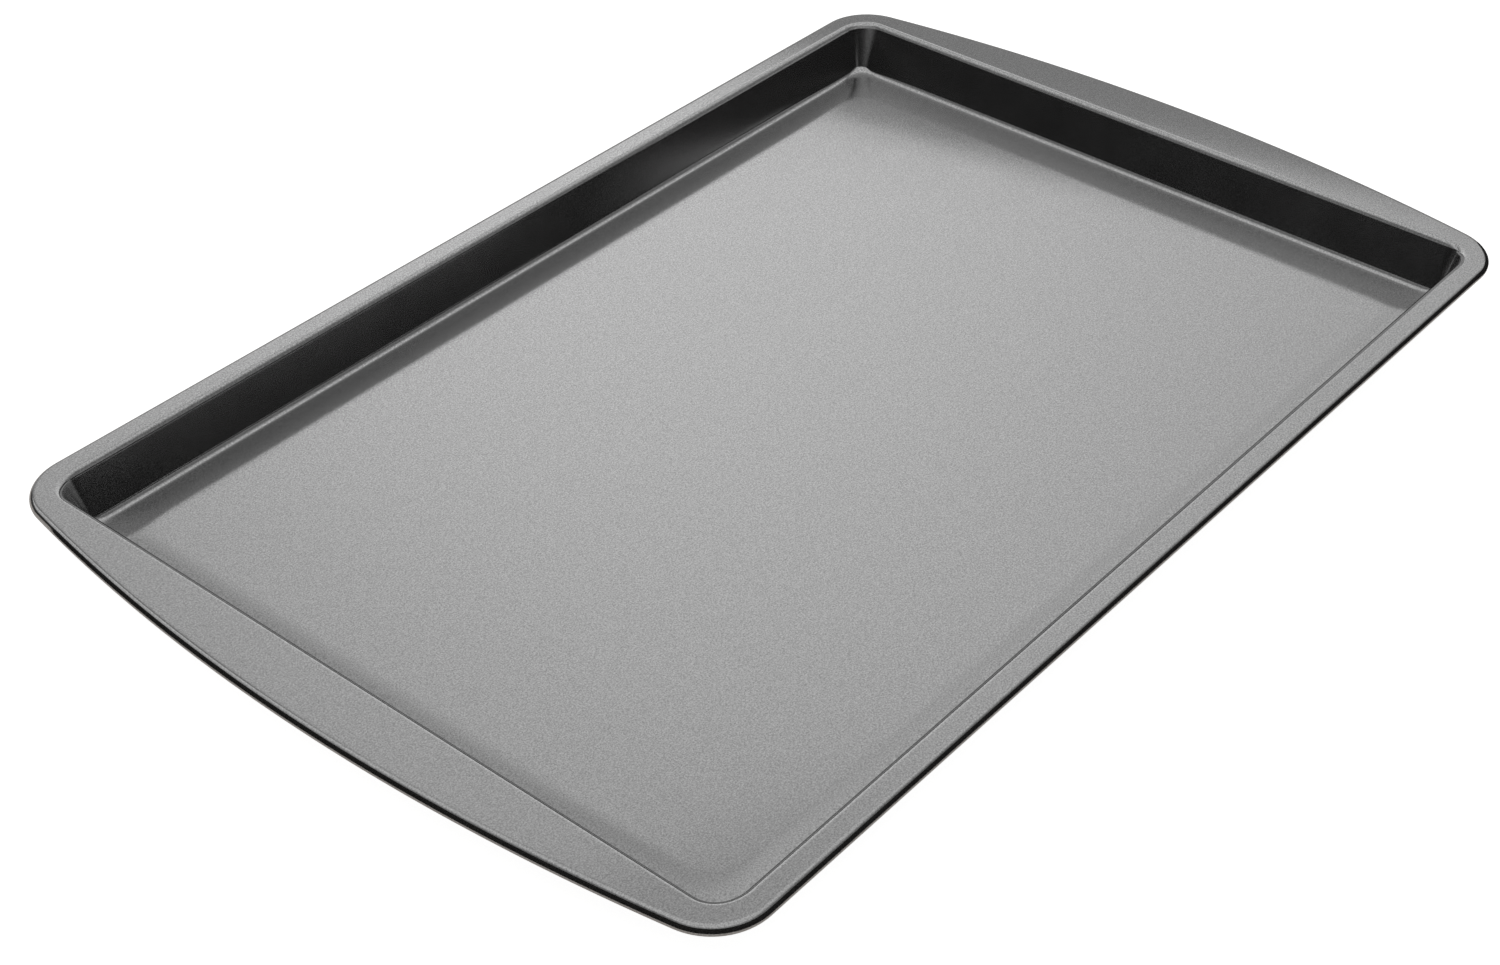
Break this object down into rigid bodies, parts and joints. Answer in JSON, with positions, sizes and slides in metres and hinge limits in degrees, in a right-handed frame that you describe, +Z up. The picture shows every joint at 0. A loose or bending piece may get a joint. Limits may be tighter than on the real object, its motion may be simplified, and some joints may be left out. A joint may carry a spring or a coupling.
{
  "type": "cookie sheet",
  "caption": "Shallow pressed-steel cookie sheet with a flat base, sloped walls, a flat rim that bows out at both ends for gripping, and an edge rolled round a wire.",
  "frame": {"origin": "under the middle of the base, on the plane the pan stands on", "axes": "+X along the length, towards one bowed end; +Y across the width; +Z up, out of the open top"},
  "size_m": [0.45, 0.2894, 0.0186],
  "materials": {
    "nonstick_coat": "grey metallic non-stick coat, satin, with a fine speckle, on thin carbon steel",
    "wire_steel": "plain drawn steel wire, hidden in the rolled edge"
  },
  "bodies": {
    "root": {"pan_body": "nonstick_coat", "rim_wire": "wire_steel"}
  },
  "joints": []
}
